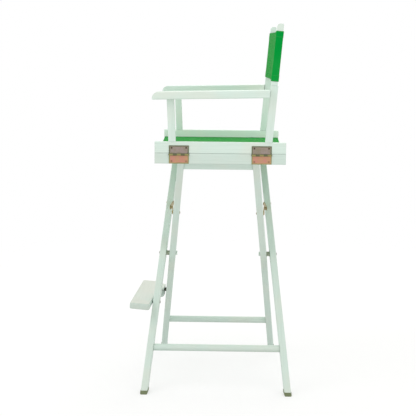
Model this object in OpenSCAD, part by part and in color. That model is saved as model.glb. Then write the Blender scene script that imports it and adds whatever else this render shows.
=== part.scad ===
// Tall folding directors chair: canvas seat and back on two crossed leg frames,
// with hinged side rails, folding braces and a tip-up footrest.
// The sitter faces -Y, +X is the sitter's left and Z is up.
// The outer leg frame stands at +X on the floor and carries the right-hand rail.
// The inner leg frame stands at -X on the floor and carries the left-hand rail.

/* [Side rails] */
// Height of the top of the side rails above the floor
rail_top = 784; // [764:5:814]
// Half the width over the outer faces of the side rails
rail_half = 260; // [252:1:270]
// Length of the side rails from front to back
rail_len = 397; // [385:1:420]
// Thickness of the side rails
rail_t = 23; // [21:0.5:25]
// Height of the upper rail of each side
upper_rail_h = 34; // [33:0.5:38]
// Height of the lower rail of each side
lower_rail_h = 32; // [28:0.5:36]
// Radius of the eased long edges of rails, legs and posts
edge_r = 2; // [1:0.25:3]

/* [Leg frames] */
// Height of the pivot on which the two leg frames fold
pivot_z = 394; // [384:2:404]
// Width of a leg, seen from the front
leg_w = 32; // [28:1:34]
// Thickness of a leg, seen from the side
leg_t = 20.5; // [19:0.5:23]
// Lean of the legs towards the front and the back
leg_splay = 5.1; // [4.5:0.1:5.5]
// Distance of the outer legs' centre lines at the pivot from the ends of the rails
leg_inset = 17.5; // [13:0.5:22]
// Distance that the rails, arms and canvas sit behind the middle of the leg frames
seat_shift = 5.5; // [0:0.5:8]
// Gap between an outer leg and its inner neighbour at the pivot
leg_gap = 10.4; // [8:0.1:12]
// Lean that each leg frame keeps when the chair is folded
closed_angle = 4; // [3.6:0.1:5]
// Height of the round stretchers
stretcher_z = 123; // [109:1:139]
// Diameter of the round stretchers
stretcher_d = 22; // [20:0.5:24]
// Thickness of the aprons between the tops of the legs
apron_t = 18; // [15:0.5:20]
// Height of the aprons
apron_h = 40.5; // [36:0.5:48]
// Height of the glides on the feet
glide_h = 10; // [8:0.5:14]
// Thickness of the glides under the feet
glide_floor = 4; // [3:0.5:6]
// Thickness of the glides round the feet
glide_wall = 1.2; // [1:0.1:2]
// Radius of the glides' lower edges at the front and the back
glide_r = 4; // [2:0.5:5]

/* [Pivots and braces] */
// Diameter of the pivot bolts
pivot_d = 8; // [6:0.5:9]
// Diameter of the heads, spacers and nuts of the pivot bolts
pivot_head_d = 15; // [13:0.5:17]
// Height of the bolts that carry the braces
brace_z = 546; // [534:1:554]
// Width of the brace links
link_w = 14.5; // [12:0.5:16]
// Thickness of the brace links
link_t = 2; // [1.5:0.1:2.4]
// Diameter of the bolts that carry the braces
brace_bolt_d = 5; // [4:0.5:6]

/* [Arms] */
// Width of the square posts
post_w = 22; // [20:0.5:24]
// Distance of the middle of the front posts from the front ends of the rails
front_post_inset = 52.5; // [48:0.5:58]
// Distance of the middle of the back posts from the rear ends of the rails
back_post_inset = 52.5; // [48:0.5:58]
// Forward lean of the front posts
front_lean = 2.5; // [1:0.1:3]
// Backward lean of the back posts
back_lean = 5; // [3.6:0.1:6]
// Height of the top of the back posts
back_top = 1139; // [1126:1:1156]
// Height of the shoulder on the back posts
shoulder_z = 955; // [950:1:960]
// Depth of the step at that shoulder
shoulder_step = 2.4; // [1.5:0.1:3]
// Radius of the front edge at the top of the back posts
post_top_r = 10; // [6:0.5:14]
// Radius of the rear edge at the top of the back posts
post_rear_r = 4; // [2:0.5:5]
// Height of the underside of the armrests, halfway along the rails
arm_under = 916; // [896:1:926]
// Thickness of the armrests
arm_t = 23; // [20:0.5:26]
// Width of the armrests
arm_w = 54; // [50:1:60]
// Distance that the armrests reach in past the rails' inner faces
arm_overhang = 7; // [3:0.5:8]
// Rise of the armrests towards the back
arm_slope = 1.3; // [0:0.1:2]
// Distance that the armrests reach ahead of the rails
arm_ahead = 7.5; // [0:0.5:14]
// Radius of the armrests' noses, seen from the side
arm_nose_r = 21; // [10:0.5:23]

/* [Hinges] */
// Length of a hinge along the rails
hinge_len = 60; // [50:1:64]
// Distance of the middle of each hinge from the end of the rails
hinge_inset = 73.5; // [68:0.5:78]
// Height of each hinge leaf above or below the middle of the knuckles
leaf_h = 27.5; // [24:0.5:28]
// Distance of the knuckles' middle below the seam between the rails
hinge_drop = 4; // [2:0.5:5]
// Thickness of the hinge leaves
leaf_t = 1.5; // [1.2:0.1:2]
// Diameter of the hinge knuckles
knuckle_d = 5.8; // [5:0.1:7]
// Diameter of the hinge pins
pin_d = 3; // [2:0.1:3.4]

/* [Canvas] */
// Thickness of the canvas
canvas_t = 1.3; // [1:0.1:1.4]
// Distance of the seat canvas from the ends of the rails
seat_inset = 2; // [1:0.5:12]
// Sag of the seat canvas in the middle
seat_sag = 7; // [0:1:9]
// Height of the back canvas, measured along the posts
back_h = 149.5; // [130:0.5:158]
// Distance of the back canvas above the shoulder of the posts
back_rise = 13; // [8:0.5:18]
// Hollow of the back canvas in the middle
back_bow = 7; // [0:1:12]
// Diameter of the rods in the seat canvas
rod_d = 5; // [4:0.1:5.4]
// Diameter of the channels that hold those rods
channel_d = 8.8; // [8.6:0.1:9.4]

/* [Footrest] */
// Height of the footrest's pivot
foot_z = 250.6; // [244:0.2:258]
// Distance of the stud that the footrest rests on below that height
stud_drop = 4; // [2:0.5:6]
// Length of the footrest board across the chair
foot_len = 340; // [330:1:350]
// Distance that the board reaches out past its pivot
foot_out = 82.5; // [76:0.5:88]
// Depth of the footrest board
foot_depth = 64; // [55:1:72]
// Thickness of the footrest board
foot_t = 20; // [18:0.5:23]
// Height of the footrest's top above its pivot
foot_rise = 9; // [8:0.5:11]
// Space between the footrest board and the outer front leg
foot_standoff = 3; // [2:0.5:4]
// Width of the block behind the far end of the board
block_w = 60; // [54:1:62]
// Distance that the block reaches below the board
block_drop = 21; // [16:0.5:24]

/* [Hidden] */
$fn = 48;
big = 1500;
fit = 0.05;
soft_gap = 0.3;
over = 1;
hole_room = 0.5;

rail_in = rail_half - rail_t;
rail_mid = rail_half - rail_t / 2;
rail_end = rail_len / 2;
leg_spread = rail_end - leg_inset;
front_post_y = rail_end - front_post_inset;
back_post_y = rail_end - back_post_inset;
hinge_y = rail_end - hinge_inset;
arm_in = rail_in - arm_overhang;
arm_reach = rail_end + arm_ahead;
seat_len = rail_len - 2 * seat_inset;
seam_z = rail_top - upper_rail_h;
lower_z = seam_z - lower_rail_h;
leg_top_gap = 1;

// A leg's outer edge meets the rail's inner face level with the rail's underside
frame_angle = acos(leg_w / 2 / norm([rail_in, lower_z - pivot_z])) - atan2(lower_z - pivot_z, rail_in);
fold_half = frame_angle - closed_angle;
leg_half_y = leg_t / 2 / cos(leg_splay);
inner_spread = leg_spread - leg_gap - 2 * leg_half_y;
leg_slope = cos(frame_angle) * cos(leg_splay);
leg_down = pivot_z / leg_slope + leg_w;
leg_up = (seam_z - pivot_z) / leg_slope + leg_w;

// Spot faces square to the pivot, deep enough to be whole circles on the leaning legs
spot_room = 0.5;
spot_extra = 0.1;
spot_r = pivot_head_d / 2 + spot_room;
spot_depth = spot_r * tan(leg_splay) + spot_extra;
seat_y = leg_half_y - spot_depth;
pivot_head_h = 4.5;
pivot_nut_h = 6;
nut_floor = 1;
nut_chamfer = 2;

stretcher_up = (stretcher_z - pivot_z) / cos(frame_angle);
stretcher_tenon_d = 16;
stretcher_tenon = 14;
apron_gap = 1;
apron_top = (rail_in - apron_gap - apron_t / 2 * cos(frame_angle)) / sin(frame_angle);
apron_cheek = 3;
apron_shoulder = 7;
apron_tenon_t = apron_t - 2 * apron_cheek;
apron_tenon_h = apron_h - 2 * apron_shoulder;
apron_tenon = 9;

rail_screw_down = 12;
rail_screw_bite = 21;
rail_screw_z = seam_z - rail_screw_down;
rail_screw_d = 4.4;
rail_screw_head = 8.4;
rail_screw_len = rail_t + rail_screw_bite;
cross_long = 0.6;
cross_wide = 0.14;
cross_deep = 0.7;

// Braces: each link lies in the plane of its own leg's face
link_gap = 0.1;
link_mid = leg_t / 2 + link_gap + link_t / 2;
brace_rise = brace_z - pivot_z;
brace_x = brace_rise * tan(frame_angle);
link_angle = atan2(sin(frame_angle), leg_slope);
link_len = brace_x * norm([leg_slope, sin(frame_angle)]) / cos(leg_splay);
brace_head_d = 10;
brace_head_h = 1.8;
brace_cap_d = 11;
brace_cap_h = 2.6;
rivet_boss_d = 9;
rivet_room = 0.6;
rivet_boss_h = (leg_gap * cos(leg_splay) - rivet_room) / 2 - link_gap - link_t;

// Hinges, drawn on the left-hand rail and mirrored for the right
knuckle_r = knuckle_d / 2;
hinge_stand = 0.1;
hinge_x = rail_half + knuckle_r + hinge_stand;
hinge_z = seam_z - hinge_drop;
knuckles = 5;
knuckle_len = hinge_len / knuckles;
leaf_gap = 0.3;
knuckle_gap = 0.1;
pin_cap_d = pin_d + 1.2;
pin_cap_h = 1;
pin_cap_gap = 0.2;
leaf_screw_d = 3.2;
leaf_screw_head = 5.8;
leaf_screw_len = 14;
leaf_screw_in = 8;
upper_leaf_screw_up = 20.5;
lower_leaf_screw_down = 20;
leaf_screw_dy = hinge_len / 2 - leaf_screw_in;
upper_leaf_screw_z = hinge_z + upper_leaf_screw_up;
lower_leaf_screw_z = hinge_z - lower_leaf_screw_down;

// Channel in the upper rail for the seat canvas and its rod
channel_in = 12.5;
channel_up = 8;
channel_x = rail_half - channel_in;
channel_z = seam_z + channel_up;
slot_h = 3.2;
rod_inset = 2;
loop_r = channel_d / 2 - soft_gap;
steps = 10;
crease = 0.15;

// Posts and armrests
post_tenon_d = 14;
post_tenon = 14;
arm_gap = 1;
arm_tenon_d = 10;
arm_tenon = 12;
arm_corner_r = 8;
arm_edge_r = 3;
arm_mid_z = arm_under + arm_t / 2 + (back_post_y - post_w / 2) * tan(arm_slope);
arm_tenon_up = (arm_mid_z - rail_top) / cos(back_lean);
shoulder_up = (shoulder_z - rail_top) / cos(back_lean);
post_up = (back_top - rail_top - post_w / 2 * sin(back_lean)
    + post_top_r * (sin(back_lean) + cos(back_lean) - 1)) / cos(back_lean);
stick_w = post_w - shoulder_step;
back_low = shoulder_up + back_rise;

// A leg lies along one axis; its faces look along leg_normal; leg_level is square to that and level
leg_normal = [sin(leg_splay) * sin(frame_angle), cos(leg_splay), -sin(leg_splay) * cos(frame_angle)];
leg_level = [cos(leg_splay), -sin(leg_splay) * sin(frame_angle), 0]
    / norm([cos(leg_splay), sin(leg_splay) * sin(frame_angle)]);
leg_upright = cross(leg_level, leg_normal);
leg_tilt = asin(sin(leg_splay) * cos(frame_angle));

// Footrest: it turns on a bolt in the outer front leg and rests on a stud in the inner one.
// The board is square to its bolt, and its places are measured from the bolt in the leg
foot_s = (foot_z - pivot_z) / leg_slope;
foot_at = leg_at(leg_spread, foot_s);
board_back = -(leg_t / 2 + foot_standoff);
board_front = board_back - foot_depth;
board_under = foot_rise - foot_t;
block_under = board_under - block_drop;
foot_bolt_d = 6;
foot_bolt_in = 30;
foot_head_d = 12;
foot_head_h = 3.5;
foot_washer_d = 13;
board_corner_r = 7;
board_edge_r = 3;
block_corner_r = 9;
stud_d = 8;
stud_flange_d = 12.5;
stud_flange_h = 4.6;
stud_pin = 16;
stud_in = 16;
notch_side = 1.2;
block_screw_d = 4;
block_screw_len = 32;
block_screw_in = 10;
block_screw_step = 9.5;
block_screw_up = 0;

// The stud's place and turn, seen from the footrest's bolt
stud_s = foot_s - stud_drop / leg_slope;
stud_away = [[-1, 0, 0], [0, 1, 0], [0, 0, 1]] * leg_at(inner_spread, stud_s) - foot_at;
stud_at = [stud_away * leg_level, stud_away * leg_normal, stud_away * leg_upright];
stud_turn = asin(2 * leg_normal.x * leg_level.x);
block_room = 0.8;
block_back = stud_at.y - (leg_t / 2 + stud_flange_h) * cos(stud_turn)
    - stud_flange_d / 2 * sin(stud_turn) - block_room;
block_end = stud_at.x - block_w / 2;

// The rear foot reaches furthest back at its outer corner; the footrest reaches furthest forward
foot_grow = leg_t / 2 + glide_wall;
foot_wide_z = glide_r * (1 + sin(leg_tilt));
foot_corner_x = (leg_w / 2 + glide_wall) / cos(frame_angle) + (pivot_z - foot_wide_z) * tan(frame_angle);
rear_edge = leg_spread + (foot_grow + sin(leg_splay) * (cos(frame_angle) * (pivot_z - foot_wide_z)
    + sin(frame_angle) * foot_corner_x)) / cos(leg_splay);
front_corner = foot_at + (foot_out - board_corner_r) * leg_level + board_front * leg_normal
    + (board_under + board_edge_r) * leg_upright;
y_shift = -(front_corner.y + rear_edge) / 2;

paint = [0.84, 0.91, 0.88];
canvas_green = [0.10, 0.62, 0.27];
bronze = [0.52, 0.45, 0.38];
copper = [0.78, 0.52, 0.40];
olive = [0.43, 0.46, 0.33];
steel = [0.62, 0.62, 0.60];
dark_steel = [0.30, 0.30, 0.29];

// Places: the whole chair, either leg frame, a leg in its frame, either side, and what stands on the rails
module chair() {
    translate([0, y_shift, 0]) children();
}

module outer_frame() {
    translate([0, 0, pivot_z]) rotate([0, -frame_angle, 0]) children();
}

module inner_frame() {
    mirror([1, 0, 0]) outer_frame() children();
}

module at_front_leg(spread) {
    translate([0, -spread, 0]) rotate([-leg_splay, 0, 0]) children();
}

module at_rear_leg(spread) {
    mirror([0, 1, 0]) at_front_leg(spread) children();
}

module right_side() {
    mirror([1, 0, 0]) children();
}

module seat_place() {
    translate([0, seat_shift, 0]) children();
}

module front_and_rear() {
    children();
    mirror([0, 1, 0]) children();
}

// A cylinder along Y from y = from to y = to
module rod_y(d, from, to) {
    translate([0, from, 0]) rotate([-90, 0, 0]) cylinder(d = d, h = to - from);
}

// A rectangle with rounded corners, centred on the origin
module rounded_rect(w, d, r) {
    square([w - 2 * r, d], center = true);
    square([w, d - 2 * r], center = true);
    for (sx = [-1, 1], sy = [-1, 1]) {
        translate([sx * (w / 2 - r), sy * (d / 2 - r)]) circle(r = r, $fn = 24);
    }
}

// A bar along Z with eased edges
module bar(w, d, r, from, to) {
    translate([0, 0, from]) linear_extrude(to - from) rounded_rect(w, d, r);
}

// A bar along Y with eased edges, centred on the origin
module bar_y(w, h, r, length) {
    rotate([90, 0, 0]) linear_extrude(length, center = true) rounded_rect(w, h, r);
}

// A countersunk screw along -Z with the top of its head at z = 0
module flat_screw(d, head_d, length) {
    difference() {
        union() {
            translate([0, 0, -length]) cylinder(d = d, h = length - (head_d - d) / 2 + fit);
            translate([0, 0, -(head_d - d) / 2]) cylinder(d1 = d, d2 = head_d, h = (head_d - d) / 2);
        }
        for (turn = [0, 90]) {
            rotate([0, 0, turn]) {
                cube([head_d * cross_long, head_d * cross_wide, 2 * cross_deep], center = true);
            }
        }
    }
}

// The hole for such a screw
module flat_screw_hole(d, head_d, length) {
    translate([0, 0, -length - fit]) cylinder(d = d + 2 * fit, h = length + 2 * fit);
    translate([0, 0, -(head_d - d) / 2 - fit]) {
        cylinder(d1 = d, d2 = head_d + 2 * fit, h = (head_d - d) / 2 + fit);
    }
}

// A low domed head on the plane z = 0
module dome(d, h) {
    sphere_r = (d * d / 4 + h * h) / (2 * h);
    intersection() {
        translate([0, 0, h - sphere_r]) sphere(r = sphere_r);
        cylinder(d = d, h = h);
    }
}

// A place on a front leg's centre line, as on the outer frame: s is the distance up from the pivot
function leg_at(spread, s) = [
    -s * cos(leg_splay) * sin(frame_angle),
    -spread + s * sin(leg_splay),
    pivot_z + s * leg_slope];

// The bar that a leg is cut from, in the leg's own place
module leg_bar(grow) {
    bar(leg_w + 2 * grow, leg_t + 2 * grow, edge_r + grow, -leg_down, leg_up);
}

// Distance of a brace bolt up its leg: side is 1 on the outer frame and -1 on the inner
function brace_s(side) = (brace_rise + side * link_mid * sin(leg_splay) * cos(frame_angle)) / leg_slope;

// One leg, as the outer front leg lies: it reaches the rail on the -X side
module leg(spread, side) {
    difference() {
        intersection() {
            outer_frame() at_front_leg(spread) leg_bar(0);
            translate([-rail_in, -big, glide_floor + fit]) {
                cube([rail_in + big, big, seam_z - leg_top_gap - glide_floor]);
            }
        }
        outer_frame() {
            translate([0, -spread, 0]) {
                rod_y(pivot_d + 2 * fit, -leg_t, leg_t);
                rod_y(2 * spot_r, seat_y, leg_t);
                rod_y(2 * spot_r, -leg_t, -seat_y);
            }
            at_front_leg(spread) translate([0, 0, brace_s(side)]) {
                rod_y(brace_bolt_d + 2 * fit, -leg_t, leg_t);
            }
            translate([0, -leg_y(spread, stretcher_up), stretcher_up]) {
                rod_y(stretcher_tenon_d + 2 * fit, leg_half_y - stretcher_tenon - hole_room, leg_t);
            }
            apron_tenons(spread, fit);
        }
        rail_screw_place(spread) flat_screw_hole(rail_screw_d, rail_screw_head, rail_screw_len);
    }
}

// Distance of a leg's centre line from the middle at a height up the frame
function leg_y(spread, up) = spread - up * tan(leg_splay);

// The screw that goes through the lower rail into the top of a front leg
module rail_screw_place(spread) {
    up = (rail_screw_z - pivot_z) / cos(frame_angle);
    translate([-rail_half, -leg_y(spread, up), rail_screw_z]) rotate([0, -90, 0]) children();
}

// The round stretcher between two legs of one frame
module stretcher(spread) {
    half = leg_y(spread, stretcher_up);
    outer_frame() {
        difference() {
            translate([0, 0, stretcher_up]) rod_y(stretcher_d, -half, half);
            at_front_leg(spread) leg_bar(fit);
            at_rear_leg(spread) leg_bar(fit);
        }
        translate([0, 0, stretcher_up]) {
            reach = half - leg_half_y + stretcher_tenon;
            rod_y(stretcher_tenon_d, -reach, reach);
        }
    }
}

// The tenons of an apron, or the mortises for them when grown
module apron_tenons(spread, grow) {
    up = apron_top - apron_h / 2;
    reach = leg_y(spread, up) - leg_half_y + apron_tenon + 4 * grow;
    translate([0, 0, up]) {
        cube([apron_tenon_t + 2 * grow, 2 * reach, apron_tenon_h + 2 * grow], center = true);
    }
}

// The apron between the tops of two legs of one frame
module apron(spread) {
    up = apron_top - apron_h / 2;
    outer_frame() {
        difference() {
            translate([0, 0, up]) bar_y(apron_t, apron_h, edge_r, 2 * leg_y(spread, up));
            at_front_leg(spread) leg_bar(fit);
            at_rear_leg(spread) leg_bar(fit);
        }
        apron_tenons(spread, 0);
    }
}

// The rubber cap on a foot, as on the outer front leg
module glide(spread) {
    difference() {
        intersection() {
            outer_frame() at_front_leg(spread) leg_bar(glide_wall);
            translate([0, -big, 0]) cube([big, big, glide_h]);
        }
        intersection() {
            outer_frame() at_front_leg(spread) leg_bar(fit);
            translate([0, -big, glide_floor]) cube([big, big, big]);
        }
        outer_frame() at_front_leg(spread) translate([0, 0, -pivot_z / leg_slope]) {
            rotate([0, link_angle, 0]) for (side = [-1, 1]) glide_rounding(side);
        }
    }
}

// What the rounding takes off a glide's lower edge: side is -1 at the front and 1 at the back.
// Here z = 0 is where the leg's centre line meets the floor, and the floor tilts by leg_tilt
module glide_rounding(side) {
    mid_y = side * (foot_grow - glide_r);
    mid_z = mid_y * tan(leg_tilt) + glide_r / cos(leg_tilt);
    from_y = mid_y + glide_r * sin(leg_tilt);
    to_y = side * (foot_grow + over);
    difference() {
        translate([-leg_w, min(from_y, to_y), mid_z - 2 * glide_r]) {
            cube([2 * leg_w, abs(to_y - from_y), 2 * glide_r]);
        }
        translate([-leg_w - over, mid_y, mid_z]) rotate([0, 90, 0]) {
            cylinder(r = glide_r, h = 2 * (leg_w + over));
        }
    }
}

// The lower rail, as on the outer frame, on the -X side
module lower_rail(spread) {
    difference() {
        seat_place() translate([-rail_mid, 0, lower_z + lower_rail_h / 2]) {
            bar_y(rail_t, lower_rail_h, edge_r, rail_len);
        }
        front_and_rear() rail_screw_place(spread) {
            flat_screw_hole(rail_screw_d, rail_screw_head, rail_screw_len);
        }
        seat_place() right_side() hinge_screw_places(lower_leaf_screw_z) {
            flat_screw_hole(leaf_screw_d, leaf_screw_d + fit, leaf_screw_len);
        }
    }
}

// Pivot bolt, spacer and nut of the front pair of legs
module pivot_bolt() {
    translate([0, 0, pivot_z]) {
        rod_y(pivot_d, -leg_spread - seat_y, -inner_spread + seat_y + pivot_nut_h - nut_floor);
        translate([0, -leg_spread - seat_y, 0]) rotate([90, 0, 0]) dome(pivot_head_d, pivot_head_h);
    }
}

module pivot_spacer() {
    translate([0, 0, pivot_z]) difference() {
        rod_y(pivot_head_d, -leg_spread + seat_y + fit, -inner_spread - seat_y - fit);
        rod_y(pivot_d + 2 * fit, -leg_spread, -inner_spread);
    }
}

module pivot_nut() {
    translate([0, -inner_spread + seat_y + fit, pivot_z]) rotate([-90, 0, 0]) difference() {
        intersection() {
            cylinder(d = pivot_head_d, h = pivot_nut_h, $fn = 6);
            cylinder(d1 = pivot_head_d + nut_chamfer, d2 = pivot_head_d - nut_chamfer, h = pivot_nut_h);
        }
        translate([0, 0, -over]) cylinder(d = pivot_d + 2 * fit, h = pivot_nut_h - nut_floor + fit + over);
    }
}

// A brace bolt in its leg: the link turns on it between the leg and the flat head
module brace_bolt(spread, side) {
    head_y = link_mid + link_t / 2 + fit;
    outer_frame() at_front_leg(spread) translate([0, 0, brace_s(side)]) {
        mirror([0, side < 0 ? 1 : 0, 0]) {
            rod_y(brace_bolt_d, -leg_t / 2 - fit, head_y + brace_head_h);
            rod_y(brace_head_d, head_y, head_y + brace_head_h);
            translate([0, -leg_t / 2, 0]) rotate([90, 0, 0]) dome(brace_cap_d, brace_cap_h);
        }
    }
}

// One brace link from its bolt at the origin to the rivet, in the plane of its leg
module link() {
    rotate([90, 0, 0]) linear_extrude(link_t, center = true) difference() {
        union() {
            circle(d = link_w);
            translate([link_len, 0]) circle(d = link_w);
            translate([0, -link_w / 2]) square([link_len, link_w]);
        }
        circle(d = brace_bolt_d + 2 * fit);
        translate([link_len, 0]) circle(d = brace_bolt_d + 2 * fit);
    }
}

// Puts a link or its rivet on its leg, from the brace bolt towards the chair's middle
module brace_place(spread, side) {
    outer_frame() at_front_leg(spread) {
        translate([0, side * link_mid, brace_s(side)]) rotate([0, link_angle, 0]) children();
    }
}

// Half of the rivet that joins two links: a flush shank and a boss on the inner face
module half_rivet(side) {
    translate([link_len, 0, 0]) mirror([0, side < 0 ? 1 : 0, 0]) {
        rod_y(brace_bolt_d, -link_t / 2, link_t / 2 + fit);
        rod_y(rivet_boss_d, link_t / 2, link_t / 2 + rivet_boss_h);
    }
}

// Hinges on the left-hand side: all the screw places at one height
module hinge_screw_places(z) {
    for (sy = [-1, 1], dy = [-1, 1]) {
        translate([rail_half, sy * hinge_y + dy * leaf_screw_dy, z]) rotate([0, 90, 0]) children();
    }
}

// Both hinges' leaves: up is 1 for the upper leaves, with two knuckles each, and -1 for the
// lower ones, with three
module hinge_leaves(up, screw_z) {
    first = up > 0 ? 1 : 0;
    plate_z = up > 0 ? hinge_z + knuckle_r + leaf_gap : hinge_z - leaf_h;
    flange_z = up > 0 ? hinge_z : hinge_z - leaf_h / 2;
    difference() {
        for (sy = [-1, 1]) translate([0, sy * hinge_y - hinge_len / 2, 0]) {
            difference() {
                union() {
                    translate([rail_half, 0, plate_z]) {
                        cube([leaf_t, hinge_len, leaf_h - knuckle_r - leaf_gap]);
                    }
                    for (k = [first : 2 : knuckles - 1]) {
                        translate([hinge_x, k * knuckle_len, hinge_z]) {
                            rod_y(knuckle_d, knuckle_gap, knuckle_len - knuckle_gap);
                        }
                        translate([rail_half, k * knuckle_len + knuckle_gap, flange_z]) {
                            cube([leaf_t, knuckle_len - 2 * knuckle_gap, leaf_h / 2]);
                        }
                    }
                }
                translate([hinge_x, 0, hinge_z]) rod_y(pin_d + 2 * fit, -over, hinge_len + over);
            }
        }
        hinge_screw_places(screw_z) {
            translate([0, 0, leaf_t]) flat_screw_hole(leaf_screw_d, leaf_screw_head, leaf_screw_len);
        }
    }
}

module hinge_screws(screw_z) {
    hinge_screw_places(screw_z) {
        translate([0, 0, leaf_t]) flat_screw(leaf_screw_d, leaf_screw_head, leaf_screw_len);
    }
}

module hinge_pins() {
    cap = hinge_len / 2 + pin_cap_gap;
    for (sy = [-1, 1]) translate([hinge_x, sy * hinge_y, hinge_z]) {
        rod_y(pin_d, -cap - fit, cap + fit);
        rod_y(pin_cap_d, -cap - pin_cap_h, -cap);
        rod_y(pin_cap_d, cap, cap + pin_cap_h);
    }
}

// Places of the posts: their feet on the rail's top, leaning
module at_front_post() {
    translate([rail_mid, -front_post_y, rail_top]) rotate([front_lean, 0, 0]) children();
}

module at_back_post() {
    translate([rail_mid, back_post_y, rail_top]) rotate([-back_lean, 0, 0]) children();
}

module at_armrest() {
    translate([arm_in + arm_w / 2, 0, arm_under]) rotate([arm_slope, 0, 0]) children();
}

// The upper rail on the left-hand side
module upper_rail() {
    difference() {
        translate([rail_mid, 0, seam_z + upper_rail_h / 2]) bar_y(rail_t, upper_rail_h, edge_r, rail_len);
        translate([channel_x, 0, channel_z]) rod_y(channel_d, -rail_len, rail_len);
        translate([rail_in - over, -rail_len, channel_z - slot_h / 2]) {
            cube([channel_x - rail_in + over, 2 * rail_len, slot_h]);
        }
        at_front_post() cylinder(d = post_tenon_d + 2 * fit, h = 2 * (post_tenon + hole_room), center = true);
        at_back_post() cylinder(d = post_tenon_d + 2 * fit, h = 2 * (post_tenon + hole_room), center = true);
        hinge_screw_places(upper_leaf_screw_z) {
            flat_screw_hole(leaf_screw_d, leaf_screw_d + fit, leaf_screw_len);
        }
    }
}

// The front post, cut level on the rail and along the armrest's underside
module front_post() {
    top = (arm_under - front_post_y * tan(arm_slope) - rail_top) / cos(front_lean);
    difference() {
        at_front_post() bar(post_w, post_w, edge_r, -post_w, top + post_w);
        translate([-big, -big, rail_top - big]) cube([2 * big, 2 * big, big + fit]);
        at_armrest() translate([-big, -big, -fit]) cube([2 * big, 2 * big, big]);
    }
    at_front_post() cylinder(d = post_tenon_d, h = 2 * post_tenon, center = true);
    at_front_post() translate([0, 0, top - edge_r]) cylinder(d = post_tenon_d, h = edge_r + post_tenon);
}

// The back post: the canvas slides over its upper part, down to the shoulder
module back_post() {
    difference() {
        at_back_post() {
            bar(post_w, post_w, edge_r, -post_w, shoulder_up);
            translate([-shoulder_step / 2, -shoulder_step / 2, 0]) {
                bar(stick_w, stick_w, edge_r, shoulder_up - over, post_up);
            }
        }
        translate([-big, -big, rail_top - big]) cube([2 * big, 2 * big, big + fit]);
        at_back_post() {
            translate([0, -post_w / 2, post_up]) top_rounding(post_top_r);
            translate([0, stick_w - post_w / 2, post_up]) mirror([0, 1, 0]) top_rounding(post_rear_r);
            translate([0, -post_w / 2, arm_tenon_up]) {
                rod_y(arm_tenon_d + 2 * fit, -over, arm_tenon + hole_room);
            }
        }
    }
    at_back_post() cylinder(d = post_tenon_d, h = 2 * post_tenon, center = true);
}

// What the rounding takes off an edge along X at the origin, with the post behind and below it
module top_rounding(r) {
    translate([-post_w, 0, -r]) difference() {
        translate([0, -over, 0]) cube([2 * post_w, r + over, r + over]);
        translate([-over, r, 0]) rotate([0, 90, 0]) cylinder(r = r, h = 2 * (post_w + over));
    }
}

// The armrest: a round nose, eased edges, and a tenon into the back post
module arm_blank() {
    at_armrest() {
        reach = back_post_y + 2 * post_w;
        intersection() {
            translate([0, (reach - arm_reach) / 2, arm_t / 2]) {
                bar_y(arm_w, arm_t, arm_edge_r, reach + arm_reach);
            }
            rotate([90, 0, 90]) linear_extrude(2 * arm_w, center = true) difference() {
                translate([-arm_reach, 0]) square([reach + arm_reach, arm_t]);
                translate([-arm_reach - over, arm_t - arm_nose_r]) difference() {
                    square([arm_nose_r + over, arm_nose_r + over]);
                    translate([arm_nose_r + over, 0]) circle(r = arm_nose_r);
                }
            }
            translate([0, (reach - arm_reach) / 2, -over]) linear_extrude(arm_t + 2 * over) {
                rounded_rect(arm_w, reach + arm_reach, arm_corner_r);
            }
        }
    }
}

module armrest_whole() {
    difference() {
        arm_blank();
        at_back_post() translate([-big / 2, -post_w / 2 - arm_gap, -big / 2]) cube([big, big, big]);
        at_front_post() cylinder(d = post_tenon_d + 2 * fit, h = front_post_hole());
    }
    at_back_post() translate([0, -post_w / 2, arm_tenon_up]) {
        rod_y(arm_tenon_d, -arm_gap - arm_tenon / 2, arm_tenon);
    }
}

// Depth up the front post that its top tenon's hole reaches
function front_post_hole() =
    (arm_under - front_post_y * tan(arm_slope) - rail_top) / cos(front_lean) + post_tenon + hole_room;

module seat_rod() {
    translate([channel_x, 0, channel_z]) rod_y(rod_d, rod_inset - rail_end, rail_end - rod_inset);
}

// Half of the seat canvas: a loop round the rod, then a sagging sheet to the crease
function seat_z(x) = -seat_sag * (1 - pow(x / rail_in, 2));

module seat_canvas() {
    xs = [for (i = [0 : steps]) rail_in + (crease - rail_in) * i / steps];
    top = [for (x = xs) [x, seat_z(x) + canvas_t / 2]];
    bottom = [for (i = [steps : -1 : 0]) [xs[i], seat_z(xs[i]) - canvas_t / 2]];
    translate([0, 0, channel_z]) rotate([90, 0, 0]) linear_extrude(seat_len, center = true) {
        difference() {
            union() {
                translate([channel_x, 0]) circle(r = loop_r);
                translate([rail_in, -canvas_t / 2]) square([channel_x - rail_in, canvas_t]);
                polygon(concat(top, bottom));
            }
            translate([channel_x, 0]) circle(d = rod_d + 2 * soft_gap);
        }
    }
}

// Half of the back canvas: a sleeve round the post's upper part and a panel to the crease
function back_y(x) = back_bow * (1 - pow(x / rail_in, 2));

module back_canvas() {
    sleeve = stick_w + 2 * soft_gap;
    outside = sleeve + 2 * canvas_t;
    shift = -shoulder_step / 2;
    front = -post_w / 2 - soft_gap;
    xs = [for (i = [0 : steps]) rail_in + (crease - rail_in) * i / steps];
    back = [for (x = xs) [x - rail_mid, front + back_y(x)]];
    face = [for (i = [steps : -1 : 0]) [xs[i] - rail_mid, front + back_y(xs[i]) - canvas_t]];
    at_back_post() translate([0, 0, back_low]) linear_extrude(back_h) {
        difference() {
            union() {
                translate([shift, shift]) rounded_rect(outside, outside, edge_r + canvas_t);
                translate([rail_in - rail_mid - fit, front - canvas_t]) square([post_w / 2, canvas_t]);
                polygon(concat(back, face));
            }
            translate([shift, shift]) rounded_rect(sleeve, sleeve, edge_r);
        }
    }
}

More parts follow.
